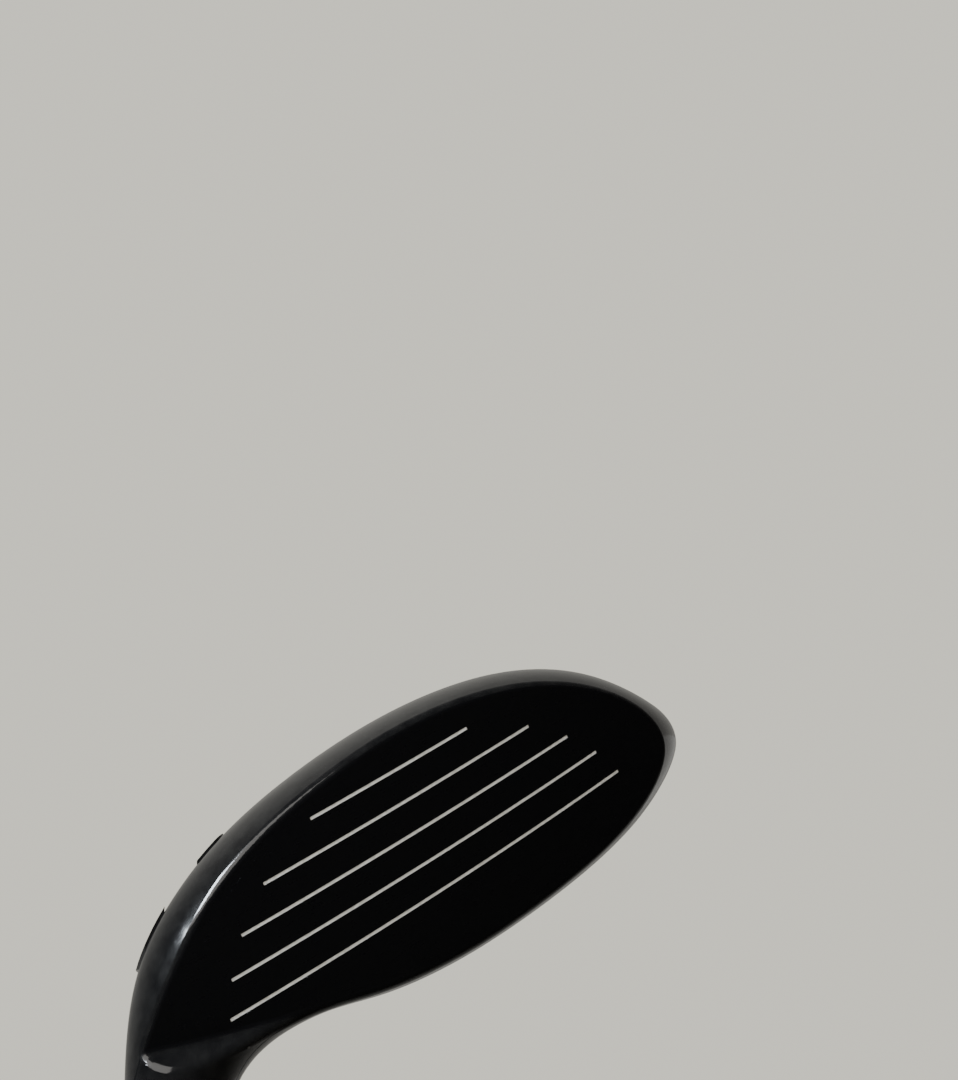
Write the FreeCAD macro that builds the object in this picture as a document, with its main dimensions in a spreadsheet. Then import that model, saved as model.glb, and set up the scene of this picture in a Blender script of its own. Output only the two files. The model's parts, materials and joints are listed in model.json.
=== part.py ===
"""Hybrid golf club: hollow steel head with a removable shaft, graphite shaft and rubber grip.

Units are millimetres. The club's own frame has +Z along the shaft, from the grip's end face
(the origin) towards the head, -Y on the side that the face looks to, and +X towards the toe.
The head is drawn in its address frame, the way it sits on the ground before a shot:
x towards the toe, y towards the target, z up, and the origin where the shaft's centre line
meets the ground. One placement then turns the whole head into the club's frame.
"""
import FreeCAD
import Part
import Sketcher
import os
from math import cos, pi, radians, sin, sqrt

from FreeCAD import Placement, Rotation, Vector

DIMENSIONS = [
    # the club as a whole
    ("club_length", 1016.0),          # grip end to the ground point of the shaft's centre line
    ("lie_angle", 61.2),              # shaft to ground, degrees
    ("loft_angle", 19.5),             # face lean, degrees
    ("shaft_behind", 2.0),            # the shaft's centre line is this far behind the head's origin
    # face
    ("face_centre_x", 28.4),
    ("face_centre_y", 10.4),
    ("face_centre_z", 19.5),
    ("face_roll_bulge", 312.0),       # radius of the face, both ways
    ("face_thickness", 2.6),
    ("groove_width", 0.5),
    ("groove_depth", 0.35),
    ("groove_spacing", 5.2),
    ("groove_centre_x", 3.2),         # from the face centre, towards the toe
    ("paint_recess", 0.06),
    # walls of the head
    ("seat_inset", 1.0),              # crown panel thickness
    ("plate_inset", 1.6),             # width of the rim round the face plate
    ("wall_inset", 2.2),
    ("badge_inset", 0.7),
    ("collar_height", 0.42),
    ("face_edge_radius", 1.5),
    # hosel, sleeve and screw, all on the shaft's centre line
    ("neck_radius", 6.9),
    ("neck_mouth", 951.0),            # where the head stops and the sleeve's collar starts
    ("hosel_bore_radius", 5.65),
    ("hosel_bore_end", 978.5),
    ("hosel_boss_radius", 7.6),
    ("screw_seat", 996.0),
    ("screw_hole_radius", 2.9),
    ("port_radius", 5.0),
    ("port_rim_radius", 6.7),
    ("collar_front", 4.4),            # the port's collar stops this far in front of the axis
    ("sleeve_radius", 5.6),
    ("sleeve_collar_start", 940.0),
    ("sleeve_end", 977.5),
    ("sleeve_bore_radius", 4.8),
    ("sleeve_bore_end", 964.0),
    ("sleeve_thread_radius", 2.58),
    ("screw_radius", 2.5),
    ("screw_end", 968.0),
    ("screw_head_radius", 4.3),
    ("screw_head_height", 4.6),
    ("washer_radius", 4.7),
    ("washer_hole_radius", 2.75),
    ("washer_thickness", 1.2),
    # back weight, along its own axis, from the sole inwards
    ("weight_x", 40.0),
    ("weight_y", -27.0),
    ("weight_z", 0.6),
    ("weight_tilt", 15.0),            # its axis leans back from straight down, degrees
    ("weight_flange_radius", 7.4),
    ("weight_flange_height", 2.6),
    ("weight_port_radius", 7.7),
    ("weight_port_depth", 4.4),
    ("weight_shank_radius", 5.0),
    ("weight_shank_length", 9.0),
    ("weight_hole_radius", 5.08),
    ("weight_hole_depth", 15.0),
    ("weight_boss_radius", 10.0),
    ("weight_boss_depth", 17.0),
    ("weight_washer_thickness", 0.8),
    ("weight_washer_hole_radius", 5.3),
    # six-lobed drive recess shared by the two screws
    ("drive_core_radius", 1.75),
    ("drive_lobe_radius", 0.5),
    ("drive_lobe_circle", 1.75),
    ("drive_depth", 2.8),
    # shaft
    ("shaft_start", 4.0),
    ("shaft_butt_radius", 7.6),
    ("shaft_butt_end", 285.0),
    ("shaft_tip_radius", 4.7),
    ("shaft_tip_start", 890.0),
    ("shaft_end", 962.0),
    ("shaft_butt_bore_radius", 6.6),
    ("shaft_tip_bore_radius", 3.1),
    ("plug_start", 954.0),
    # ferrule
    ("ferrule_start", 915.0),
    ("ferrule_lip_radius", 5.15),
    ("ferrule_ring_start", 930.0),
    ("ferrule_ring_end", 932.5),
    ("ferrule_wall_radius", 6.8),
    ("ring_proud", 0.1),
    # grip
    ("tape_thickness", 0.15),
    ("tape_end", 262.0),
    ("cap_radius", 13.6),
    ("cap_edge_radius", 12.2),
    ("cap_edge_height", 1.6),
    ("cap_height", 5.5),
    ("vent_radius", 1.6),
    ("grip_butt_radius", 13.3),
    ("grip_waist_z", 120.0),
    ("grip_waist_radius", 11.7),
    ("grip_mouth_radius", 9.4),
    ("grip_lip_radius", 10.0),
    ("grip_lip_start", 262.0),
    ("grip_end", 268.0),
]

# Cross-sections of the head, from the top of the neck to the toe. The first ones are rings
# round the shaft's centre line: height up the shaft, radius on the heel side, radius on the
# toe side, radius to the front, radius to the back.
NECK_RINGS = [
    (65.0, 6.9, 6.9, 6.9, 6.9),
    (58.0, 6.9, 6.9, 6.9, 6.9),
    (50.0, 6.9, 6.9, 6.9, 6.9),
    (43.0, 7.2, 7.3, 6.6, 7.0),
]
# The rest span from a low point to a high point: low x, low z, high x, high z, height of the
# widest place as a share of that span, y of the centre, reach to the front, reach to the back.
BODY_SECTIONS = [
    (-23.4, 27.3, -9.7, 36.3, 0.48, -1.2, 6.6, 7.6),
    (-19.2, 19.7, -4.0, 34.3, 0.46, 0.0, 7.6, 11.0),
    (-13.6, 12.9, 2.0, 34.4, 0.43, 1.2, 8.6, 18.2),
    (-6.2, 8.0, 7.5, 35.3, 0.40, 2.2, 10.7, 26.2),
    (3.0, 3.7, 13.0, 37.1, 0.37, 1.2, 14.8, 33.7),
    (15.0, 0.4, 20.0, 39.0, 0.35, -0.8, 19.3, 38.2),
    (32.0, -1.7, 32.0, 40.5, 0.34, -1.7, 22.1, 40.3),
    (48.0, -1.5, 47.0, 40.5, 0.35, -3.0, 21.8, 39.5),
    (61.8, 0.9, 60.5, 39.6, 0.37, -4.0, 19.2, 36.0),
    (73.0, 5.4, 71.7, 37.7, 0.40, -5.5, 15.8, 31.0),
    (81.1, 11.4, 79.9, 35.0, 0.45, -7.0, 12.3, 24.0),
    (87.4, 18.8, 86.2, 32.1, 0.50, -8.0, 7.5, 16.0),
    (90.2, 22.6, 90.2, 29.0, 0.50, -8.5, 3.0, 6.0),
    (90.2, 25.8, 90.2, 25.8, 0.50, -8.5, 0.0, 0.0),
]
SECTION_POINTS = 24

# How far the face plate reaches from the face centre towards the heel.
PLATE_HEEL_REACH = 38.0

# Half lengths of the five score lines, from the sole up: they end on an ellipse.
GROOVE_ROWS = (-2, -1, 0, 1, 2)
GROOVE_ELLIPSE_B = 20.4
GROOVE_ELLIPSE_LONG = 40.4
GROOVE_ELLIPSE_SHORT = 33.2

doc = FreeCAD.newDocument("HybridClub")
sizes = doc.addObject("Spreadsheet::Sheet", "Sizes")
for row, (alias, number) in enumerate(DIMENSIONS, start=1):
    sizes.set("A%d" % row, alias)
    sizes.set("B%d" % row, str(number))
    sizes.setAlias("B%d" % row, alias)
doc.recompute()


def size(alias):
    """The number in the sheet's cell of that name."""
    return float(sizes.get(alias))


# ---------------------------------------------------------------- frames of the head

LIE = radians(size("lie_angle"))
LOFT = radians(size("loft_angle"))
FACE_NORMAL = Vector(0, cos(LOFT), sin(LOFT))
FACE_UP = Vector(0, -sin(LOFT), cos(LOFT))
TOEWARD = Vector(1, 0, 0)
FACE_CENTRE = Vector(size("face_centre_x"), size("face_centre_y"), size("face_centre_z"))
# half a turn about this line, which lies midway between the head's x and the club's x, takes
# the address frame to the club's frame
TURN_LEAN = radians(90 - size("lie_angle")) / 2
HEAD_PLACE = Placement(Vector(0, -size("shaft_behind"), size("club_length")),
                       Rotation(Vector(cos(TURN_LEAN), 0, sin(TURN_LEAN)), 180))


def on_shaft_line(height):
    """The point of the shaft's centre line at that height above the ground point."""
    return Vector(-cos(LIE) * height, -size("shaft_behind"), sin(LIE) * height)


def axes_placement(origin, x_axis, z_axis):
    """A placement at origin whose x and z point along the two given directions."""
    y_axis = z_axis.cross(x_axis)
    matrix = FreeCAD.Matrix(
        x_axis.x, y_axis.x, z_axis.x, origin.x,
        x_axis.y, y_axis.y, z_axis.y, origin.y,
        x_axis.z, y_axis.z, z_axis.z, origin.z,
        0, 0, 0, 1)
    return Placement(matrix)


# ---------------------------------------------------------------- small builders

def primitive(kind, name, placement=None, **expressions):
    """A Part primitive whose properties are bound to expressions of the sheet."""
    shape = doc.addObject("Part::" + kind, name)
    for key, expression in expressions.items():
        shape.setExpression(key, expression)
    if placement:
        shape.Placement = placement
    return shape


def cut(name, base, tool):
    result = doc.addObject("Part::Cut", name)
    result.Base = base
    result.Tool = tool
    return result


def common(name, base, tool):
    result = doc.addObject("Part::Common", name)
    result.Base = base
    result.Tool = tool
    return result


def fuse(name, shapes):
    result = doc.addObject("Part::MultiFuse", name)
    result.Shapes = shapes
    return result


def turned(label, outline):
    """A body turned round Z. The outline is a list of (radius, z) expressions."""
    body = doc.addObject("PartDesign::Body", label + "_body")
    body.Label = label
    sketch = body.newObject("Sketcher::SketchObject", label + "_profile")
    plane = [f for f in body.Origin.OriginFeatures if f.Role == "XZ_Plane"][0]
    sketch.AttachmentSupport = (plane, [""])
    sketch.MapMode = "FlatFace"
    count = len(outline)
    ring = [Vector(20 + 5 * cos(2 * pi * i / count), 5 * sin(2 * pi * i / count), 0)
            for i in range(count)]
    for i in range(count):
        sketch.addGeometry(Part.LineSegment(ring[i], ring[(i + 1) % count]), False)
    for i in range(count):
        sketch.addConstraint(Sketcher.Constraint("Coincident", i, 2, (i + 1) % count, 1))
    for i, (radius, height) in enumerate(outline):
        if radius == "0":
            sketch.addConstraint(Sketcher.Constraint("PointOnObject", i, 1, -2))
        else:
            index = sketch.addConstraint(Sketcher.Constraint("DistanceX", i, 1, ring[i].x))
            sketch.setExpression("Constraints[%d]" % index, radius)
        if height == "0":
            sketch.addConstraint(Sketcher.Constraint("PointOnObject", i, 1, -1))
        else:
            index = sketch.addConstraint(Sketcher.Constraint("DistanceY", i, 1, ring[i].y))
            sketch.setExpression("Constraints[%d]" % index, height)
    turn = body.newObject("PartDesign::Revolution", label + "_turn")
    turn.Profile = sketch
    turn.ReferenceAxis = (sketch, ["V_Axis"])
    turn.Angle = 360
    return body


def tube(label, inner, outer, start, end):
    return turned(label, [(inner, start), (outer, start), (outer, end), (inner, end)])


# ---------------------------------------------------------------- skins of the head

def section_points(low, high, waist, y_centre, front, back):
    """Control points of one closed section, an egg whose widest place is at waist."""
    span = high - low
    centre = low + span * waist + Vector(0, y_centre, 0)
    rise = span * (1 - waist)
    drop = span * -waist
    # a closed cubic B-spline runs inside its control points by this factor
    swell = 3 / (2 + cos(2 * pi / SECTION_POINTS))
    points = []
    for i in range(SECTION_POINTS):
        turn = pi + 2 * pi * i / SECTION_POINTS
        side = rise if sin(turn) > 0 else drop
        reach = front if cos(turn) > 0 else back
        points.append(centre + side * (abs(sin(turn)) * swell)
                      + Vector(0, reach * cos(turn) * swell, 0))
    return points


def head_sections(inset):
    """Sections of the head with the wall moved inwards by inset."""
    sections = []
    for height, heel, toe, front, back in NECK_RINGS:
        centre = on_shaft_line(height)
        across = Vector(sin(LIE), 0, cos(LIE))
        low = centre - across * (heel - inset)
        high = centre + across * (toe - inset)
        waist = (heel - inset) / (heel + toe - 2 * inset)
        sections.append((low, high, waist, 0.0, front - inset, back - inset))
    last_x = BODY_SECTIONS[-1][0]
    for low_x, low_z, high_x, high_z, waist, y_centre, front, back in BODY_SECTIONS:
        low = Vector(low_x, 0, low_z)
        high = Vector(high_x, 0, high_z)
        # near the toe the wall faces along x, so there the sections move along x instead
        toe_share = max(0.0, 1 - (last_x - low_x) / 22.0) ** 1.5
        shift = Vector(-inset * toe_share, 0, 0)
        squeeze = inset * (1 - toe_share)
        span = high - low
        if span.Length > 2 * squeeze and span.Length > 0:
            step = span * (squeeze / span.Length)
            low = low + step
            high = high - step
        sections.append((low + shift, high + shift, waist, y_centre,
                         max(front - squeeze, 0), max(back - squeeze, 0)))
    return sections


def head_skin(name, inset):
    """A closed solid inside one smooth surface through the sections."""
    poles = [section_points(*section) for section in head_sections(inset)]
    rows = len(poles)
    along_knots = list(range(rows - 2))
    along_mults = [4] + [1] * (rows - 4) + [4]
    round_knots = list(range(SECTION_POINTS + 1))
    round_mults = [1] * (SECTION_POINTS + 1)
    surface = Part.BSplineSurface()
    surface.buildFromPolesMultsKnots(poles, along_mults, round_mults, along_knots,
                                     round_knots, False, True, 3, 3)
    skin = surface.toShape()
    mouth = [edge for edge in skin.Edges
             if not edge.Degenerated and edge.BoundBox.Center.x < -20 and edge.isClosed()
             and (edge.BoundBox.DiagonalLength < 40)][0]
    lid = Part.Face(Part.Wire([mouth]))
    shell = Part.makeShell([skin, lid])
    shell.sewShape()
    solid = Part.makeSolid(shell)
    if solid.Volume < 0:
        solid.reverse()
    feature = doc.addObject("Part::Feature", name)
    feature.Shape = solid
    return feature


outer_skin = head_skin("OuterSkin", 0)
seat_skin = head_skin("SeatSkin", size("seat_inset"))
plate_skin = head_skin("PlateSkin", size("plate_inset"))
wall_skin = head_skin("WallSkin", size("wall_inset"))
badge_skin = head_skin("BadgeSkin", size("badge_inset"))
collar_skin = head_skin("CollarSkin", -size("collar_height"))


# ---------------------------------------------------------------- outside of the head

def face_point(across, up, forward=0.0):
    """A point given from the face centre: towards the toe, up the face, out of the face."""
    return FACE_CENTRE + TOEWARD * across + FACE_UP * up + FACE_NORMAL * forward


def face_ball(name, depth):
    """The ball whose surface is the face, moved back by the given expression."""
    middle = FACE_CENTRE - FACE_NORMAL * size("face_roll_bulge")
    return primitive("Sphere", name, Placement(middle, Rotation()),
                     Radius="Sizes.face_roll_bulge - (%s)" % depth)


# cylinders on the centre line grow from the grip's side towards the ground
ALONG_SHAFT = Rotation(Vector(0, 0, 1), Vector(cos(LIE), 0, -sin(LIE)))
# distances from the grip's end that lie clear outside the neck and outside the sole
OUTSIDE_NECK = 900.0
OUTSIDE_SOLE = 1030.0


def shaft_rod(name, radius, low, high):
    """A cylinder on the shaft's centre line between two distances from the grip's end."""
    return primitive("Cylinder", name,
                     Placement(on_shaft_line(size("club_length") - low), ALONG_SHAFT),
                     Radius=radius, Height=str(high - low))

# The face ends at the heel on a straight crease. Beyond it a slope climbs to the neck.
CREASE_POINT = face_point(-27.0, 16.35)
CREASE_RISE = 0.22
CREASE_SLOPE = 0.9
BLOCK = 260.0
crease_line = (TOEWARD + FACE_UP * CREASE_RISE).normalize()
crease_wall = (FACE_UP - TOEWARD * CREASE_RISE - FACE_NORMAL * CREASE_SLOPE).normalize()
block_corner = (CREASE_POINT - crease_line * (BLOCK / 2) - crease_wall * BLOCK
                - crease_wall.cross(crease_line) * (BLOCK / 2))
front_block = primitive("Box", "FrontBlock",
                        axes_placement(block_corner, crease_line, crease_wall),
                        Length=str(BLOCK), Width=str(BLOCK), Height=str(BLOCK))

# the skin cut back to the face, with the edges of that cut rounded
front_cut = cut("FrontCut", front_block, face_ball("FaceBall", "0"))
head_blank = cut("HeadBlank", outer_skin, front_cut)
doc.recompute()
BALL_MIDDLE = FACE_CENTRE - FACE_NORMAL * size("face_roll_bulge")


def made_by_front_cut(edge):
    """True for an edge that lies on the face or on the slope above the crease."""
    if edge.Degenerated:
        return False
    length = edge.LastParameter - edge.FirstParameter
    points = [edge.valueAt(edge.FirstParameter + length * share) for share in (0.1, 0.5, 0.9)]
    off_face = max(abs((p - BALL_MIDDLE).Length - size("face_roll_bulge")) for p in points)
    off_slope = max(abs((p - CREASE_POINT).dot(crease_wall)) for p in points)
    return min(off_face, off_slope) < 0.02


soft_blank = doc.addObject("Part::Fillet", "SoftBlank")
soft_blank.Base = head_blank
rim_radius = size("face_edge_radius")
soft_blank.Edges = [(number, rim_radius, rim_radius)
                    for number, edge in enumerate(head_blank.Shape.Edges, start=1)
                    if made_by_front_cut(edge)]

# the raised collar round the screw's port: it rises only behind the ridge of the sole
collar_rod = shaft_rod("CollarRod", "Sizes.port_rim_radius", size("screw_seat"), OUTSIDE_SOLE)
collar_room = primitive("Box", "CollarRoom",
                        Placement(Vector(-BLOCK / 2, -BLOCK, -BLOCK / 2), Rotation()),
                        Length=str(BLOCK), Height=str(BLOCK),
                        Width="%s + Sizes.collar_front - Sizes.shaft_behind" % BLOCK)
port_collar = common("PortCollar", common("CollarPiece", collar_skin, collar_rod), collar_room)
head_outside = fuse("HeadOutside", [soft_blank, port_collar])

# ---------------------------------------------------------------- face plate and score lines

# the plate stops short of the hosel, where the body carries the face itself
plate_corner = face_point(-PLATE_HEEL_REACH, BLOCK / 2, -BLOCK / 2)
plate_block = primitive("Box", "PlateBlock",
                        axes_placement(plate_corner, TOEWARD, FACE_NORMAL),
                        Length=str(BLOCK), Width=str(BLOCK), Height=str(BLOCK))
plate_front = common("PlateFront", common("PlatePiece", plate_skin, plate_block),
                     face_ball("PlateBall", "0"))
plate_raw = cut("PlateRaw", plate_front, face_ball("PlateBack", "Sizes.face_thickness"))

STRIP_HEIGHT = 16.0
strips = []
for line in GROOVE_ROWS:
    up = line * size("groove_spacing")
    reach = GROOVE_ELLIPSE_LONG * sqrt(1 - ((up - GROOVE_ELLIPSE_B) / GROOVE_ELLIPSE_SHORT) ** 2)
    corner = face_point(size("groove_centre_x") - reach, up + size("groove_width") / 2,
                        -STRIP_HEIGHT / 2)
    strips.append(primitive("Box", "GrooveStrip%d" % (line + 3),
                            axes_placement(corner, TOEWARD, FACE_NORMAL),
                            Length=str(2 * reach), Width="Sizes.groove_width", Height=str(STRIP_HEIGHT)))
groove_bars = fuse("GrooveBars", strips)
groove_cut = cut("GrooveCut", groove_bars, face_ball("GrooveBall", "Sizes.groove_depth"))
face_insert = cut("FaceInsert", plate_raw, groove_cut)
paint_bars = common("PaintBars", common("PaintPiece", groove_cut, plate_skin),
                    face_ball("PaintBall", "Sizes.paint_recess"))

# ---------------------------------------------------------------- crown panel, badge, slug

CROWN_CENTRE = Vector(41, -18, 18)
CROWN_LONG = 38.0
CROWN_SHORT = 18.5
CROWN_LEDGE = 4.0
CROWN_DEPTH = 40.0


def oval_prism(name, centre, long_half, short_half, height):
    """An upright prism with an oval outline."""
    oval = doc.addObject("Part::Ellipse", name + "Outline")
    oval.setExpression("MajorRadius", str(long_half))
    oval.setExpression("MinorRadius", str(short_half))
    oval.Placement = Placement(centre, Rotation())
    prism = doc.addObject("Part::Extrusion", name)
    prism.Base = oval
    prism.Dir = Vector(0, 0, 1)
    prism.setExpression("LengthFwd", str(height))
    prism.Solid = True
    return prism


crown_prism = oval_prism("CrownPrism", CROWN_CENTRE, CROWN_LONG, CROWN_SHORT, CROWN_DEPTH)
crown_seat = cut("CrownSeat", crown_prism, seat_skin)
crown_shell = common("CrownShell", crown_seat, outer_skin)
crown_hole = oval_prism("CrownHole", CROWN_CENTRE, CROWN_LONG - CROWN_LEDGE,
                        CROWN_SHORT - CROWN_LEDGE, CROWN_DEPTH)

BADGE_CENTRE = Vector(44, -9, -6)
BADGE_LONG = 15.0
BADGE_SHORT = 5.5
BADGE_DEPTH = 14.0
badge_prism = oval_prism("BadgePrism", BADGE_CENTRE, BADGE_LONG, BADGE_SHORT, BADGE_DEPTH)
badge_seat = cut("BadgeSeat", badge_prism, badge_skin)
sole_badge = common("SoleBadge", badge_seat, outer_skin)



def block_of(name, corner, length, width, height):
    """An upright box from its lowest corner."""
    return primitive("Box", name, Placement(corner, Rotation()),
                     Length=str(length), Width=str(width), Height=str(height))


# tungsten slug welded low at the toe end of the hollow
SLUG_CORNER = Vector(58, -30, -4)
tungsten_slug = common("TungstenSlug", wall_skin, block_of("SlugBlock", SLUG_CORNER, 15, 26, 11))

# a blob of tacky hot-melt that deadens the sound, just behind the sole at the heel side
MELT_CORNER = Vector(11, -22, -4)
hot_melt_bead = common("HotMelt", wall_skin, block_of("MeltBlock", MELT_CORNER, 14, 18, 9.5))

# ---------------------------------------------------------------- hollow and bores

weight_down = Vector(0, -sin(radians(size("weight_tilt"))), -cos(radians(size("weight_tilt"))))
WEIGHT_POINT = Vector(size("weight_x"), size("weight_y"), size("weight_z"))
WEIGHT_INWARD = Rotation(Vector(0, 0, 1), weight_down * -1)
UNDER_SOLE = -12.0


def weight_rod(name, radius, depth_from, depth_to):
    """A cylinder on the weight's axis, between two depths under the sole."""
    return primitive("Cylinder", name,
                     Placement(WEIGHT_POINT - weight_down * depth_from, WEIGHT_INWARD),
                     Radius=radius, Height=str(depth_to - depth_from))


hollow_room = cut("HollowRoom", wall_skin, fuse("Bosses", [
    shaft_rod("HoselBoss", "Sizes.hosel_boss_radius", OUTSIDE_NECK, OUTSIDE_SOLE),
    weight_rod("WeightBoss", "Sizes.weight_boss_radius", UNDER_SOLE,
               size("weight_boss_depth")),
]))
hollow = common("Hollow", hollow_room, face_ball("HollowBall", "Sizes.face_thickness"))

bores = fuse("Bores", [
    shaft_rod("HoselBore", "Sizes.hosel_bore_radius", OUTSIDE_NECK, size("hosel_bore_end")),
    shaft_rod("ScrewHole", "Sizes.screw_hole_radius", size("hosel_bore_end") - 1,
              size("screw_seat") + 1),
    shaft_rod("ScrewPort", "Sizes.port_radius", size("screw_seat"), OUTSIDE_SOLE),
    weight_rod("WeightPort", "Sizes.weight_port_radius", UNDER_SOLE, size("weight_port_depth")),
    weight_rod("WeightHole", "Sizes.weight_hole_radius", 0, size("weight_hole_depth")),
])
crown_opening = common("CrownOpening", crown_hole, seat_skin)
head_body = cut("HeadBody", head_outside,
                fuse("HeadCuts", [plate_raw, hollow, bores, crown_seat, crown_opening, badge_seat]))

for piece in (head_body, face_insert, crown_shell, sole_badge, tungsten_slug, hot_melt_bead):
    piece.Placement = HEAD_PLACE
paint_bars.Placement = HEAD_PLACE


# ---------------------------------------------------------------- screws and washers

def drive_recess(name, top):
    """A six-lobed socket that opens at the given height on Z."""
    core = primitive("Cylinder", name + "Core", Radius="Sizes.drive_core_radius",
                     Height="Sizes.drive_depth + 1")
    core.setExpression("Placement.Base.z", "%s - Sizes.drive_depth" % top)
    lobes = [core]
    for number in range(6):
        lobe = primitive("Cylinder", "%sLobe%d" % (name, number + 1),
                         Radius="Sizes.drive_lobe_radius", Height="Sizes.drive_depth + 1")
        turn = pi / 3 * number
        lobe.setExpression("Placement.Base.x", "Sizes.drive_lobe_circle * %.6f" % cos(turn))
        lobe.setExpression("Placement.Base.y", "Sizes.drive_lobe_circle * %.6f" % sin(turn))
        lobe.setExpression("Placement.Base.z", "%s - Sizes.drive_depth" % top)
        lobes.append(lobe)
    return fuse(name, lobes)


hosel_screw_blank = turned("hosel_screw_blank", [
    ("0", "Sizes.screw_end"),
    ("Sizes.screw_radius - 0.5", "Sizes.screw_end"),
    ("Sizes.screw_radius", "Sizes.screw_end + 0.6"),
    ("Sizes.screw_radius", "Sizes.screw_seat + Sizes.washer_thickness"),
    ("Sizes.screw_head_radius", "Sizes.screw_seat + Sizes.washer_thickness"),
    ("Sizes.screw_head_radius",
     "Sizes.screw_seat + Sizes.washer_thickness + Sizes.screw_head_height - 0.5"),
    ("Sizes.screw_head_radius - 0.5",
     "Sizes.screw_seat + Sizes.washer_thickness + Sizes.screw_head_height"),
    ("0", "Sizes.screw_seat + Sizes.washer_thickness + Sizes.screw_head_height"),
])
hosel_screw = cut("HoselScrew", hosel_screw_blank, drive_recess(
    "HoselDrive", "Sizes.screw_seat + Sizes.washer_thickness + Sizes.screw_head_height"))
hosel_washer = tube("hosel_washer", "Sizes.washer_hole_radius", "Sizes.washer_radius",
                    "Sizes.screw_seat", "Sizes.screw_seat + Sizes.washer_thickness")

# The weight is drawn head up with its seat at z = 0, then laid on its own axis.
back_weight_blank = turned("back_weight_blank", [
    ("0", "-Sizes.weight_shank_length"),
    ("Sizes.weight_shank_radius - 0.7", "-Sizes.weight_shank_length"),
    ("Sizes.weight_shank_radius", "-Sizes.weight_shank_length + 0.8"),
    ("Sizes.weight_shank_radius", "Sizes.weight_washer_thickness"),
    ("Sizes.weight_flange_radius", "Sizes.weight_washer_thickness"),
    ("Sizes.weight_flange_radius",
     "Sizes.weight_washer_thickness + Sizes.weight_flange_height - 0.5"),
    ("Sizes.weight_flange_radius - 0.5",
     "Sizes.weight_washer_thickness + Sizes.weight_flange_height"),
    ("0", "Sizes.weight_washer_thickness + Sizes.weight_flange_height"),
])
back_weight = cut("BackWeight", back_weight_blank, drive_recess(
    "WeightDrive", "(Sizes.weight_washer_thickness + Sizes.weight_flange_height)"))
back_weight_washer = tube("back_weight_washer", "Sizes.weight_washer_hole_radius",
                          "Sizes.weight_flange_radius", "0", "Sizes.weight_washer_thickness")
weight_seat = WEIGHT_POINT - weight_down * size("weight_port_depth")
WEIGHT_PLACE = HEAD_PLACE * Placement(weight_seat, Rotation(Vector(0, 0, 1), weight_down))
for piece in (back_weight, back_weight_washer):
    piece.Placement = WEIGHT_PLACE

# ---------------------------------------------------------------- sleeve, ferrule and shaft

shaft_sleeve = turned("shaft_sleeve", [
    ("Sizes.sleeve_bore_radius", "Sizes.sleeve_collar_start"),
    ("Sizes.neck_radius - 0.3", "Sizes.sleeve_collar_start"),
    ("Sizes.neck_radius", "Sizes.sleeve_collar_start + 0.3"),
    ("Sizes.neck_radius", "Sizes.neck_mouth"),
    ("Sizes.sleeve_radius", "Sizes.neck_mouth"),
    ("Sizes.sleeve_radius", "Sizes.sleeve_end - 0.6"),
    ("Sizes.sleeve_radius - 0.6", "Sizes.sleeve_end"),
    ("Sizes.sleeve_thread_radius", "Sizes.sleeve_end"),
    ("Sizes.sleeve_thread_radius", "Sizes.sleeve_bore_end"),
    ("Sizes.sleeve_bore_radius", "Sizes.sleeve_bore_end"),
])
tip_epoxy = tube("tip_epoxy", "Sizes.shaft_tip_radius", "Sizes.sleeve_bore_radius",
                 "Sizes.sleeve_collar_start", "Sizes.shaft_end")
tip_plug = turned("tip_plug", [
    ("0", "Sizes.plug_start"),
    ("Sizes.shaft_tip_bore_radius", "Sizes.plug_start"),
    ("Sizes.shaft_tip_bore_radius", "Sizes.shaft_end"),
    ("0", "Sizes.shaft_end"),
])
ferrule = turned("ferrule", [
    ("Sizes.shaft_tip_radius", "Sizes.ferrule_start"),
    ("Sizes.ferrule_lip_radius", "Sizes.ferrule_start"),
    ("Sizes.ferrule_lip_radius + 0.75", "Sizes.ferrule_start + 6"),
    ("Sizes.ferrule_wall_radius - 0.45", "Sizes.ferrule_ring_start - 2"),
    ("Sizes.ferrule_wall_radius - 0.3", "Sizes.ferrule_ring_start"),
    ("Sizes.ferrule_wall_radius - 1.1", "Sizes.ferrule_ring_start"),
    ("Sizes.ferrule_wall_radius - 1.1", "Sizes.ferrule_ring_end"),
    ("Sizes.ferrule_wall_radius - 0.2", "Sizes.ferrule_ring_end"),
    ("Sizes.ferrule_wall_radius", "Sizes.sleeve_collar_start"),
    ("Sizes.shaft_tip_radius", "Sizes.sleeve_collar_start"),
])
ferrule_ring = tube("ferrule_ring", "Sizes.ferrule_wall_radius - 1.1",
                    "Sizes.ferrule_wall_radius - 0.25 + Sizes.ring_proud",
                    "Sizes.ferrule_ring_start", "Sizes.ferrule_ring_end")
shaft = turned("shaft", [
    ("Sizes.shaft_butt_bore_radius", "Sizes.shaft_start"),
    ("Sizes.shaft_butt_radius", "Sizes.shaft_start"),
    ("Sizes.shaft_butt_radius", "Sizes.shaft_butt_end"),
    ("Sizes.shaft_tip_radius", "Sizes.shaft_tip_start"),
    ("Sizes.shaft_tip_radius", "Sizes.shaft_end"),
    ("Sizes.shaft_tip_bore_radius", "Sizes.shaft_end"),
    ("Sizes.shaft_tip_bore_radius", "Sizes.shaft_tip_start"),
    ("Sizes.shaft_butt_bore_radius", "Sizes.shaft_butt_end"),
])

# ---------------------------------------------------------------- grip

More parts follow.
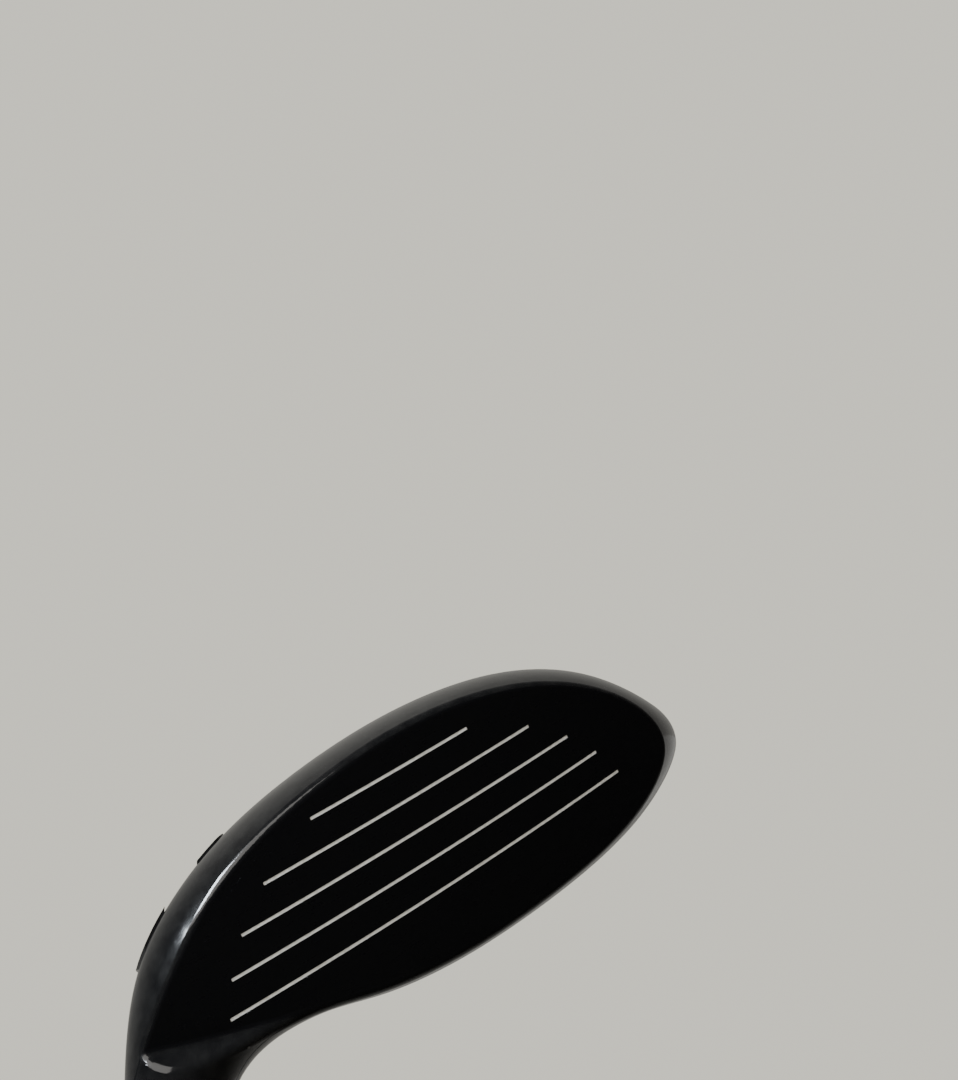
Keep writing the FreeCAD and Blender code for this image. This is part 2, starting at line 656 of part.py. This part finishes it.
grip_tape = tube("grip_tape", "Sizes.shaft_butt_radius",
                 "Sizes.shaft_butt_radius + Sizes.tape_thickness",
                 "Sizes.shaft_start + 2", "Sizes.tape_end")
grip_sleeve = turned("grip_sleeve", [
    ("Sizes.shaft_butt_radius + Sizes.tape_thickness", "Sizes.cap_height"),
    ("Sizes.grip_butt_radius", "Sizes.cap_height"),
    ("Sizes.grip_butt_radius - 0.3", "Sizes.cap_height + 30"),
    ("Sizes.grip_waist_radius", "Sizes.grip_waist_z"),
    ("Sizes.grip_mouth_radius", "Sizes.grip_lip_start - 2"),
    ("Sizes.grip_lip_radius", "Sizes.grip_lip_start"),
    ("Sizes.grip_lip_radius", "Sizes.grip_end - 1"),
    ("Sizes.grip_lip_radius - 1", "Sizes.grip_end"),
    ("Sizes.shaft_butt_radius + Sizes.tape_thickness", "Sizes.grip_end"),
])
grip_cap = turned("grip_cap", [
    ("Sizes.vent_radius", "0"),
    ("Sizes.cap_edge_radius", "0"),
    ("Sizes.cap_radius", "Sizes.cap_edge_height"),
    ("Sizes.cap_radius", "Sizes.cap_height"),
    ("Sizes.shaft_butt_radius + Sizes.tape_thickness", "Sizes.cap_height"),
    ("Sizes.shaft_butt_radius + Sizes.tape_thickness", "Sizes.shaft_start"),
    ("Sizes.vent_radius", "Sizes.shaft_start"),
])

# ---------------------------------------------------------------- check and write

SUB_PARTS = {
    "head_body": head_body,
    "face_insert": face_insert,
    "score_line_paint": paint_bars,
    "crown_shell": crown_shell,
    "sole_badge": sole_badge,
    "tungsten_slug": tungsten_slug,
    "hot_melt_bead": hot_melt_bead,
    "back_weight": back_weight,
    "back_weight_washer": back_weight_washer,
    "hosel_screw": hosel_screw,
    "hosel_washer": hosel_washer,
    "shaft_sleeve": shaft_sleeve,
    "tip_epoxy": tip_epoxy,
    "tip_plug": tip_plug,
    "ferrule": ferrule,
    "ferrule_ring": ferrule_ring,
    "shaft": shaft,
    "grip_tape": grip_tape,
    "grip_sleeve": grip_sleeve,
    "grip_cap": grip_cap,
}
doc.recompute()
failed = [item.Name for item in doc.Objects if {"Invalid", "Error"} & set(item.State)]
if failed:
    raise RuntimeError("failed objects: " + ", ".join(failed))

os.makedirs("parts", exist_ok=True)
for node, piece in SUB_PARTS.items():
    if piece.Label != node:
        piece.Label = node
    shape = piece.Shape
    if shape.isNull() or not shape.isValid() or shape.Volume <= 0:
        raise RuntimeError("bad shape: " + node)
    print(node, len(shape.Solids), round(shape.Volume, 1), shape.BoundBox)
    shape.exportStep(os.path.join("parts", node + ".step"))
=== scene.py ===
import json
import math

import bmesh
import bpy
from mathutils import Matrix, Vector

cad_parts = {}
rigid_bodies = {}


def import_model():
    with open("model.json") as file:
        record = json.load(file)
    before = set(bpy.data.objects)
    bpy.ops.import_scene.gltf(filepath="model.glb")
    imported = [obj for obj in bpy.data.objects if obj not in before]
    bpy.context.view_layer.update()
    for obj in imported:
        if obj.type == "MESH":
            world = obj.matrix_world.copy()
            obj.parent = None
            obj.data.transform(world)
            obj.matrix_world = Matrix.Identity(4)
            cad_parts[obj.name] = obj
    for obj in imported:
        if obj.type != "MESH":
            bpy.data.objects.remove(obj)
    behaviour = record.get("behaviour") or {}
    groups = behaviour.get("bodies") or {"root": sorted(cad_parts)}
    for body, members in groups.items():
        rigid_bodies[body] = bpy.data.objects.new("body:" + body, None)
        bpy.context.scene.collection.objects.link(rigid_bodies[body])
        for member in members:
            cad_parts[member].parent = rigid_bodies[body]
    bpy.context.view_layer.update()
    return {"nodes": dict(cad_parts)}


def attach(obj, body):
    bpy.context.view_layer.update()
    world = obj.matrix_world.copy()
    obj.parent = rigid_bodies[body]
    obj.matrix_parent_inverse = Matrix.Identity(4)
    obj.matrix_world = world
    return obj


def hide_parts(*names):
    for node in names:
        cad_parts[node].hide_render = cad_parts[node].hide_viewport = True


for old in list(bpy.data.objects):
    bpy.data.objects.remove(old)

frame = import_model()
MM = 0.001

# ------------------------------------------------------------------ the head's own directions

CLUB_LENGTH = 1016 * MM
LIE = math.radians(61.2)
LOFT = math.radians(19.5)
TOEWARD = Vector((math.sin(LIE), 0, math.cos(LIE)))
UPWARD = Vector((math.cos(LIE), 0, -math.sin(LIE)))
TARGET = Vector((0, -1, 0))
FACE_NORMAL = TARGET * math.cos(LOFT) + UPWARD * math.sin(LOFT)
FACE_UP = UPWARD * math.cos(LOFT) - TARGET * math.sin(LOFT)
GROUND_POINT = Vector((0, 0, CLUB_LENGTH))
FACE_RADIUS = 312 * MM


def head_point(x, y, z):
    """A point of the head given in millimetres: towards the toe, the target, and the crown."""
    return GROUND_POINT + (TOEWARD * x + TARGET * y + UPWARD * z) * MM


FACE_CENTRE = head_point(28.4, 12.4, 19.5)
BALL_MIDDLE = FACE_CENTRE - FACE_NORMAL * FACE_RADIUS

# ------------------------------------------------------------------ camera

CAMERA_FROM_FACE = Vector((-39.4, -190.8, -39.0)) * MM
CAMERA_YAW = math.radians(16.45)
CAMERA_PITCH = math.radians(25.04)
CAMERA_ROLL = math.radians(-4.95)
CAMERA_LENS = 40


def make_camera():
    forward = Vector((math.sin(CAMERA_YAW) * math.cos(CAMERA_PITCH),
                      math.cos(CAMERA_YAW) * math.cos(CAMERA_PITCH),
                      math.sin(CAMERA_PITCH)))
    level = forward.cross(Vector((0, 0, 1))).normalized()
    upright = level.cross(forward)
    right = level * math.cos(CAMERA_ROLL) + upright * math.sin(CAMERA_ROLL)
    top = right.cross(forward)
    data = bpy.data.cameras.new("camera")
    data.lens = CAMERA_LENS
    data.sensor_width = 36
    data.clip_start = 0.005
    camera = bpy.data.objects.new("camera", data)
    turn = Matrix((right, top, -forward)).transposed().to_4x4()
    camera.matrix_world = Matrix.Translation(FACE_CENTRE + CAMERA_FROM_FACE) @ turn
    bpy.context.scene.collection.objects.link(camera)
    bpy.context.scene.camera = camera


make_camera()

# ------------------------------------------------------------------ node helpers


class Nodes:
    """Short calls for building a material's node tree."""

    def __init__(self, name):
        self.material = bpy.data.materials.new(name)
        self.material.use_nodes = True
        self.tree = self.material.node_tree
        self.shader = self.tree.nodes["Principled BSDF"]
        self.place = self.tree.nodes.new("ShaderNodeTexCoord").outputs["Object"]

    def link(self, source, target):
        self.tree.links.new(source, target)

    def set(self, **sockets):
        for key, value in sockets.items():
            self.shader.inputs[key.replace("_", " ")].default_value = value

    def maths(self, operation, a, b=0.0):
        node = self.tree.nodes.new("ShaderNodeMath")
        node.operation = operation
        for socket, value in zip(node.inputs, (a, b)):
            if isinstance(value, (int, float)):
                socket.default_value = value
            else:
                self.link(value, socket)
        return node.outputs[0]

    def vector(self, operation, a, b=(0, 0, 0), output=0):
        node = self.tree.nodes.new("ShaderNodeVectorMath")
        node.operation = operation
        for socket, value in zip(node.inputs, (a, b)):
            if isinstance(value, (tuple, Vector)):
                socket.default_value = value
            else:
                self.link(value, socket)
        return node.outputs[output]

    def along(self, direction, origin):
        """Distance from origin along a direction."""
        away = self.vector("SUBTRACT", self.place, tuple(origin))
        return self.vector("DOT_PRODUCT", away, tuple(direction), output=1)

    def noise(self, scale, detail=2.0, vector=None, roughness=0.5):
        node = self.tree.nodes.new("ShaderNodeTexNoise")
        node.inputs["Scale"].default_value = scale
        node.inputs["Detail"].default_value = detail
        node.inputs["Roughness"].default_value = roughness
        self.link(vector or self.place, node.inputs["Vector"])
        return node.outputs["Fac"]

    def span(self, value, low, high, to_low=0.0, to_high=1.0):
        """Maps low to high onto to_low to to_high in a straight line, held at both ends."""
        node = self.tree.nodes.new("ShaderNodeMapRange")
        node.inputs["From Min"].default_value = low
        node.inputs["From Max"].default_value = high
        node.inputs["To Min"].default_value = to_low
        node.inputs["To Max"].default_value = to_high
        self.link(value, node.inputs["Value"])
        return node.outputs["Result"]

    def mix(self, factor, a, b):
        node = self.tree.nodes.new("ShaderNodeMix")
        node.data_type = "RGBA"
        self.link(factor, node.inputs["Factor"])
        for key, value in (("A", a), ("B", b)):
            socket = [s for s in node.inputs if s.name == key and s.type == "RGBA"][0]
            if isinstance(value, tuple):
                socket.default_value = (*value, 1)
            else:
                self.link(value, socket)
        return [s for s in node.outputs if s.type == "RGBA"][0]

    def blend_value(self, factor, a, b):
        node = self.tree.nodes.new("ShaderNodeMix")
        for socket, source in zip(node.inputs[:1] + node.inputs[2:4], (factor, a, b)):
            self.link(source, socket)
        return node.outputs[0]

    def blend_vector(self, factor, a, b):
        node = self.tree.nodes.new("ShaderNodeMix")
        node.data_type = "VECTOR"
        for socket, source in zip(node.inputs[:1] + node.inputs[4:6], (factor, a, b)):
            self.link(source, socket)
        return node.outputs[1]

    def bump(self, height, strength, distance, normal=None):
        node = self.tree.nodes.new("ShaderNodeBump")
        node.inputs["Strength"].default_value = strength
        node.inputs["Distance"].default_value = distance
        self.link(height, node.inputs["Height"])
        if normal:
            self.link(normal, node.inputs["Normal"])
        return node.outputs["Normal"]

    def colour(self, source):
        self.link(source, self.shader.inputs["Base Color"])

    def rough(self, source):
        self.link(source, self.shader.inputs["Roughness"])

    def normal(self, source):
        self.link(source, self.shader.inputs["Normal"])


# ------------------------------------------------------------------ materials of the head

BLACK = (0.005, 0.005, 0.0055)
DUSTY_BLACK = (0.012, 0.012, 0.012)
FACE_BLACK = (0.0035, 0.0035, 0.004)
PAINT_SPECULAR = 0.2
COAT_ROUGHNESS = 0.09
FACE_COAT = 0.12
MASK_IN = (0.05 * MM, 0.09 * MM)
MASK_OUT = (-0.2 * MM, -0.1 * MM)
MILL_SCALE = 3600
MILL_STRETCH = 0.02
SPECK_SCALE = 900
FINE_BUMP = 0.02 * MM


def face_mask(n):
    """1 on the struck face, 0 on the rounded rim and everywhere behind it."""
    away = n.vector("SUBTRACT", n.place, tuple(BALL_MIDDLE))
    reach = n.vector("LENGTH", away, output=1)
    depth = n.maths("SUBTRACT", FACE_RADIUS, reach)
    outward = n.span(depth, *MASK_OUT, 0.0, 1.0)
    inward = n.span(depth, *MASK_IN, 1.0, 0.0)
    return n.maths("MULTIPLY", outward, inward)


def face_texture(n):
    """Roughness and normal of the face: fine milling along the score lines, and tiny nicks."""
    across = n.along(FACE_UP, FACE_CENTRE)
    lengthwise = n.along(TOEWARD, FACE_CENTRE)
    stretched = n.tree.nodes.new("ShaderNodeCombineXYZ")
    n.link(across, stretched.inputs["X"])
    n.link(n.maths("MULTIPLY", lengthwise, MILL_STRETCH), stretched.inputs["Y"])
    mill = n.noise(MILL_SCALE, 2, vector=stretched.outputs[0])
    speck = n.noise(SPECK_SCALE, 5, roughness=0.75)
    rough = n.maths("ADD", n.span(speck, 0.3, 0.8, 0.24, 0.34), n.span(mill, 0.3, 0.7, 0.0, 0.05))
    return rough, n.bump(mill, 0.10, FINE_BUMP, n.bump(speck, 0.06, FINE_BUMP))


def gloss_black(name="gloss_black_paint", with_face=False):
    """Black paint with dust and a slight orange peel, under a smooth clear coat."""
    n = Nodes(name)
    n.set(Coat_Weight=1.0, Coat_Roughness=COAT_ROUGHNESS, Specular_IOR_Level=PAINT_SPECULAR)
    dust = n.noise(320, 6, roughness=0.7)
    tone = n.mix(n.span(dust, 0.35, 0.75), BLACK, DUSTY_BLACK)
    rough = n.span(dust, 0.35, 0.75, 0.14, 0.24)
    peel = n.noise(700, 2)
    normal = n.bump(peel, 0.04, 0.04 * MM)
    if with_face:
        mask = face_mask(n)
        tone = n.mix(mask, tone, FACE_BLACK)
        face_rough, face_normal = face_texture(n)
        rough = n.blend_value(mask, rough, face_rough)
        normal = n.blend_vector(mask, normal, face_normal)
        n.link(n.span(mask, 0, 1, 1.0, FACE_COAT), n.shader.inputs["Coat Weight"])
    n.colour(tone)
    n.rough(rough)
    n.normal(normal)
    return n.material


def face_black():
    n = Nodes("face_black")
    n.set(Base_Color=(*FACE_BLACK, 1), Coat_Weight=FACE_COAT, Coat_Roughness=COAT_ROUGHNESS,
          Specular_IOR_Level=PAINT_SPECULAR)
    rough, normal = face_texture(n)
    n.rough(rough)
    n.normal(normal)
    return n.material


def line_paint():
    n = Nodes("line_paint")
    n.set(Specular_IOR_Level=0.3)
    stain = n.noise(1500, 4, roughness=0.6)
    n.colour(n.mix(n.span(stain, 0.35, 0.75), (0.80, 0.79, 0.76), (0.56, 0.55, 0.52)))
    n.rough(n.span(stain, 0.3, 0.7, 0.45, 0.7))
    n.normal(n.bump(stain, 0.3, 0.03 * MM))
    return n.material


def plain(name, colour, roughness, metallic=0.0, scale=400, spread=0.08, coat=0.0, bump=0.1):
    """A finish with a fine grain in its colour, roughness and surface."""
    n = Nodes(name)
    n.set(Metallic=metallic, Coat_Weight=coat, Coat_Roughness=0.05)
    grain = n.noise(scale, 5, roughness=0.65)
    darker = tuple(c * 0.72 for c in colour)
    n.colour(n.mix(n.span(grain, 0.3, 0.7), colour, darker))
    n.rough(n.span(grain, 0.3, 0.7, roughness, roughness + spread))
    n.normal(n.bump(grain, bump, 0.03 * MM))
    return n.material


def turned_metal(name, colour, roughness, axis_origin, axis):
    """Metal with the fine rings that a lathe leaves round its axis."""
    n = Nodes(name)
    n.set(Metallic=1.0)
    along = n.along(axis, axis_origin)
    away = n.vector("SUBTRACT", n.place, tuple(axis_origin))
    reach = n.vector("LENGTH", away, output=1)
    rings = n.tree.nodes.new("ShaderNodeCombineXYZ")
    n.link(along, rings.inputs["X"])
    n.link(reach, rings.inputs["Y"])
    tool = n.noise(9000, 1, vector=rings.outputs[0])
    grime = n.noise(500, 5, roughness=0.7)
    darker = tuple(c * 0.6 for c in colour)
    n.colour(n.mix(n.span(grime, 0.4, 0.75), colour, darker))
    n.rough(n.maths("ADD", n.span(grime, 0.3, 0.7, roughness, roughness + 0.12),
                    n.span(tool, 0.3, 0.7, 0.0, 0.06)))
    n.normal(n.bump(tool, 0.25, 0.02 * MM))
    return n.material


# ------------------------------------------------------------------ materials of the shaft

SHAFT_BANDS = ((300, 304), (308, 309.2), (868, 869.2), (872, 876))


def round_place(n):
    """Angle round the shaft in turns, and the height along it in metres."""
    split = n.tree.nodes.new("ShaderNodeSeparateXYZ")
    n.link(n.place, split.inputs[0])
    angle = n.maths("ARCTAN2", split.outputs["Y"], split.outputs["X"])
    return n.maths("DIVIDE", angle, 2 * math.pi), split.outputs["Z"]


def graphite():
    """Clear-coated carbon: two fibre directions wound round the shaft, and plain grey bands."""
    n = Nodes("graphite_clear_coat")
    n.set(Coat_Weight=1.0, Coat_Roughness=0.03, Specular_IOR_Level=0.6)
    turn, height = round_place(n)
    winds = []
    for sense in (1, -1):
        skew = n.maths("ADD", n.maths("MULTIPLY", height, 320 * sense), n.maths("MULTIPLY", turn, 12))
        winds.append(n.span(n.maths("SINE", n.maths("MULTIPLY", skew, 2 * math.pi)), -0.2, 0.2))
    weave = n.maths("ABSOLUTE", n.maths("SUBTRACT", winds[0], winds[1]))
    strands = n.noise(2200, 3, roughness=0.6)
    base = n.mix(weave, (0.006, 0.0065, 0.007), (0.020, 0.021, 0.023))
    base = n.mix(n.span(strands, 0.45, 0.8), base, (0.030, 0.031, 0.033))
    band = 0.0
    for low, high in SHAFT_BANDS:
        above = n.span(height, (low - 0.05) * MM, (low + 0.05) * MM)
        below = n.span(height, (high - 0.05) * MM, (high + 0.05) * MM, 1.0, 0.0)
        band = n.maths("MAXIMUM", n.maths("MULTIPLY", above, below), band)
    n.colour(n.mix(band, base, (0.30, 0.30, 0.31)))
    n.link(n.span(band, 0, 1, 0.0, 0.8), n.shader.inputs["Metallic"])
    n.rough(n.span(strands, 0.3, 0.7, 0.22, 0.32))
    n.normal(n.bump(weave, 0.04, 0.02 * MM))
    return n.material


def rubber(name, scale=1400):
    """Moulded black rubber: matt, with slightly lighter and rougher patches where hands wear it."""
    n = Nodes(name)
    n.set(Specular_IOR_Level=0.35)
    pores = n.noise(scale, 5, roughness=0.7)
    wear = n.noise(45, 3)
    worn = n.span(wear, 0.4, 0.65)
    n.colour(n.mix(worn, (0.018, 0.018, 0.018), (0.030, 0.030, 0.029)))
    n.rough(n.maths("ADD", n.span(pores, 0.3, 0.7, 0.58, 0.74), n.span(worn, 0, 1, 0.0, 0.1)))
    n.normal(n.bump(pores, 0.35, 0.05 * MM))
    return n.material


def paper_tape():
    """Crinkled paper with the edge of each wound strip showing."""
    n = Nodes("paper_tape")
    n.set(Specular_IOR_Level=0.2)
    turn, height = round_place(n)
    strip = n.maths("FRACT", n.maths("ADD", n.maths("MULTIPLY", height, 20), turn))
    edge = n.span(strip, 0.0, 0.04, 1.0, 0.0)
    fibre = n.noise(900, 6, roughness=0.7)
    paper = n.mix(n.span(fibre, 0.3, 0.7), (0.72, 0.66, 0.48), (0.58, 0.52, 0.36))
    n.colour(n.mix(edge, paper, (0.36, 0.31, 0.2)))
    n.rough(n.span(fibre, 0.3, 0.7, 0.7, 0.9))
    n.normal(n.bump(fibre, 0.4, 0.08 * MM))
    return n.material


def dress(node, material):
    """Gives a CAD node its finish."""
    slots = frame["nodes"][node].data.materials
    slots.clear()
    slots.append(material)


SHAFT_AXIS = Vector((0, 0, 1))
WEIGHT_TILT = math.radians(15)
WEIGHT_AXIS = TARGET * -math.sin(WEIGHT_TILT) - UPWARD * math.cos(WEIGHT_TILT)
WEIGHT_POINT = head_point(40, -25, 0.6)

dress("head_body", gloss_black(with_face=True))
dress("crown_shell", gloss_black("crown_paint"))
dress("face_insert", face_black())
dress("score_line_paint", line_paint())
dress("sole_badge", plain("badge_satin", (0.035, 0.035, 0.037), 0.34, 0.7, scale=1200))
dress("tungsten_slug", plain("tungsten", (0.30, 0.29, 0.27), 0.42, 1.0, scale=700, bump=0.3))
dress("hot_melt_bead", plain("hot_melt", (0.60, 0.42, 0.16), 0.28, scale=120, coat=0.5, bump=0.4))
dress("back_weight", turned_metal("weight_steel", (0.34, 0.34, 0.35), 0.22,
                                  WEIGHT_POINT, WEIGHT_AXIS))
dress("back_weight_washer", plain("nylon_black", (0.03, 0.03, 0.03), 0.5))
dress("hosel_screw", turned_metal("black_oxide", (0.09, 0.09, 0.095), 0.28,
                                  Vector((0, 0, 0)), SHAFT_AXIS))
dress("hosel_washer", turned_metal("washer_steel", (0.5, 0.5, 0.52), 0.26,
                                   Vector((0, 0, 0)), SHAFT_AXIS))
dress("shaft_sleeve", turned_metal("sleeve_anodised", (0.035, 0.035, 0.038), 0.24,
                                   Vector((0, 0, 0)), SHAFT_AXIS))
dress("tip_epoxy", plain("epoxy", (0.50, 0.45, 0.33), 0.3, scale=250, bump=0.3))
dress("tip_plug", plain("plug_plastic", (0.60, 0.60, 0.58), 0.5))
dress("ferrule", gloss_black("ferrule_black"))
dress("ferrule_ring", turned_metal("ring_bright", (0.70, 0.70, 0.72), 0.16,
                                   Vector((0, 0, 0)), SHAFT_AXIS))
dress("shaft", graphite())
dress("grip_tape", paper_tape())
dress("grip_sleeve", rubber("grip_rubber_plain"))
dress("grip_cap", rubber("cap_rubber_plain"))

# ------------------------------------------------------------------ the grip's tread

GRIP_PROFILE = ((5.5, 13.25), (35.5, 13.0), (120.0, 11.7), (258.0, 9.45), (260.5, 9.5),
                (262.3, 9.98), (266.8, 9.98), (267.7, 9.6), (268.0, 9.0))
GRIP_BORE = 7.75
GRIP_STEP = 0.62
GRIP_AROUND = 168
TREAD_COUNT = 21
TREAD_PITCH = 5.2
TREAD_DEPTH = 0.42
TREAD_ZONES = ((17.0, 112.0), (128.0, 238.0))
RING_GROOVES = (9.5, 12.5, 114.5, 117.0, 123.0, 125.5, 241.0, 243.5, 246.0, 248.5, 251.0)
RING_WIDTH = 0.75
RING_DEPTH = 0.4


def along_profile(profile, height):
    """Radius at a height on a profile of (height, radius) pairs."""
    for (low, low_radius), (high, high_radius) in zip(profile, profile[1:]):
        if height <= high:
            share = (height - low) / (high - low)
            return low_radius + (high_radius - low_radius) * share
    return profile[-1][1]


def smooth_step(low, high, value):
    share = min(max((value - low) / (high - low), 0.0), 1.0)
    return share * share * (3 - 2 * share)


def groove(position):
    """1 on the line of a groove and 0 away from it, for a position counted in grooves."""
    off = abs(position - round(position))
    return 1 - smooth_step(0.07, 0.20, off)


def tread(turn, height):
    """How deep the grip is cut at a place: crossed grooves with a dimple in each diamond."""
    depth = 0.0
    for ring in RING_GROOVES:
        depth = max(depth, RING_DEPTH * (1 - smooth_step(0.0, RING_WIDTH, abs(height - ring))))
    for low, high in TREAD_ZONES:
        if low < height < high:
            fade = smooth_step(low, low + 2, height) * (1 - smooth_step(high - 2, high, height))
            one = turn * TREAD_COUNT + height / TREAD_PITCH
            other = turn * TREAD_COUNT - height / TREAD_PITCH
            cross = max(groove(one), groove(other))
            dimple = 0.45 * groove(one + 0.5) * groove(other + 0.5)
            depth = max(depth, TREAD_DEPTH * fade * max(cross, dimple))
    return depth


def revolved(name, rings):
    """A closed smooth mesh from rings of (x, y, z) in millimetres; the last joins the first."""
    count = len(rings[0])
    points = [Vector(point) * MM for ring in rings for point in ring]
    faces = []
    for row in range(len(rings)):
        here = row * count
        there = (row + 1) % len(rings) * count
        for column in range(count):
            after = (column + 1) % count
            faces.append((here + column, here + after, there + after, there + column))
    data = bpy.data.meshes.new(name)
    data.from_pydata(points, [], faces)
    data.update()
    data.shade_smooth()
    piece = bpy.data.objects.new(name, data)
    bpy.context.scene.collection.objects.link(piece)
    return piece


def ring_at(radius_of, height, count):
    ring = []
    for column in range(count):
        angle = 2 * math.pi * column / count
        radius = radius_of(column / count)
        ring.append((radius * math.cos(angle), radius * math.sin(angle), height))
    return ring


def make_grip():
    low = GRIP_PROFILE[0][0]
    high = GRIP_PROFILE[-1][0]
    rows = round((high - low) / GRIP_STEP)
    rings = [ring_at(lambda turn: GRIP_BORE, low, GRIP_AROUND)]
    for row in range(rows + 1):
        height = low + (high - low) * row / rows
        outer = along_profile(GRIP_PROFILE, height)
        rings.append(ring_at(lambda turn: outer - tread(turn, height), height, GRIP_AROUND))
    rings.append(ring_at(lambda turn: GRIP_BORE, high, GRIP_AROUND))
    grip = revolved("grip_tread", rings)
    grip.data.materials.append(rubber("grip_rubber"))
    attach(grip, "shaft_unit")
    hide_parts("grip_sleeve")


CAP_PROFILE = ((1.6, 4.0), (1.6, 0.5), (1.9, 0.1), (2.6, 0.0), (5.6, 0.0), (5.9, 0.35),
               (6.7, 0.35), (7.0, 0.0), (9.6, 0.0), (9.9, 0.35), (10.5, 0.35), (10.8, 0.0),
               (11.9, 0.02), (12.7, 0.35), (13.3, 0.95), (13.55, 1.7), (13.58, 2.6),
               (13.3, 2.8), (13.3, 3.4), (13.58, 3.6), (13.58, 4.9), (13.45, 5.3),
               (13.3, 5.5), (7.75, 5.5), (7.75, 4.0))
CAP_AROUND = 120


def make_cap():
    rings = [ring_at(lambda turn: radius, height, CAP_AROUND) for radius, height in CAP_PROFILE]
    rings.reverse()
    cap = revolved("grip_end_cap", rings)
    cap.data.materials.append(rubber("cap_rubber", 1800))
    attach(cap, "shaft_unit")
    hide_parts("grip_cap")


make_grip()
make_cap()

# ------------------------------------------------------------------ floor and light

PALE = (0.88, 0.855, 0.745)
FLOOR_PALE = (0.66, 0.64, 0.56)
FLOOR_RADIUS = 2.6
WORLD_TINT = (1.0, 0.98, 0.91)
WORLD_FRONT = 0.015
WORLD_BACK = 0.26
WORLD_TURN = (-0.3, 0.6)
COOL = (0.84, 0.92, 1.0)
WARM = (1.0, 0.97, 0.93)
WHITE = (1, 1, 1)
CEILING_TINT = (1.0, 0.98, 0.94)


def make_floor():
    """A pale disc that reflections pass through, so that it doesn't grey the black face."""
    bm = bmesh.new()
    bmesh.ops.create_circle(bm, cap_ends=True, radius=FLOOR_RADIUS, segments=96)
    data = bpy.data.meshes.new("floor")
    bm.to_mesh(data)
    bm.free()
    floor = bpy.data.objects.new("floor", data)
    n = Nodes("floor_pale")
    n.set(Base_Color=(*FLOOR_PALE, 1), Roughness=0.9, Specular_IOR_Level=0.1)
    data.materials.append(n.material)
    floor.visible_glossy = False
    bpy.context.scene.collection.objects.link(floor)


def area_light(name, toward, distance, size, power, colour):
    """A rectangular soft light that stands off from the head and faces it."""
    data = bpy.data.lights.new(name, "AREA")
    data.shape = "RECTANGLE"
    data.size = size[0]
    data.size_y = size[1]
    data.energy = power
    data.color = colour
    light = bpy.data.objects.new(name, data)
    spot = Vector(toward).normalized() * distance
    light.location = FACE_CENTRE + spot
    light.rotation_mode = "QUATERNION"
    light.rotation_quaternion = (-spot).to_track_quat("-Z", "Y")
    light.visible_camera = False
    bpy.context.scene.collection.objects.link(light)
    return light


def make_world():
    """A room dim in front of the object, so that its face stays black; a pale backdrop is seen."""
    world = bpy.data.worlds.new("surround")
    bpy.context.scene.world = world
    world.use_nodes = True
    tree = world.node_tree
    background = tree.nodes["Background"]
    place = tree.nodes.new("ShaderNodeTexCoord")
    split = tree.nodes.new("ShaderNodeSeparateXYZ")
    tree.links.new(place.outputs["Generated"], split.inputs[0])
    ramp = tree.nodes.new("ShaderNodeMapRange")
    ramp.inputs["From Min"].default_value = WORLD_TURN[0]
    ramp.inputs["From Max"].default_value = WORLD_TURN[1]
    ramp.inputs["To Min"].default_value = WORLD_FRONT
    ramp.inputs["To Max"].default_value = WORLD_BACK
    ramp.interpolation_type = "SMOOTHSTEP"
    tree.links.new(split.outputs["Y"], ramp.inputs["Value"])
    seen = tree.nodes.new("ShaderNodeBackground")
    seen.inputs["Color"].default_value = (*PALE, 1)
    background.inputs["Color"].default_value = (*WORLD_TINT, 1)
    tree.links.new(ramp.outputs["Result"], background.inputs["Strength"])
    path = tree.nodes.new("ShaderNodeLightPath")
    pick = tree.nodes.new("ShaderNodeMixShader")
    tree.links.new(path.outputs["Is Camera Ray"], pick.inputs[0])
    tree.links.new(background.outputs[0], pick.inputs[1])
    tree.links.new(seen.outputs[0], pick.inputs[2])
    tree.links.new(pick.outputs[0], tree.nodes["World Output"].inputs["Surface"])


make_floor()
make_world()
area_light("key", (-0.84, -0.42, 0.34), 1.0, (0.32, 0.34), 17, COOL)
area_light("fill", (-0.62, -0.75, 0.32), 1.5, (1.1, 1.1), 9, WARM)
area_light("side", (0.9, 0.5, -0.1), 2.0, (1.5, 1.5), 0.9, WHITE)
ceiling = area_light("ceiling", (0, 0, 1), 2.0, (4, 4), 150, CEILING_TINT)
ceiling.visible_glossy = False
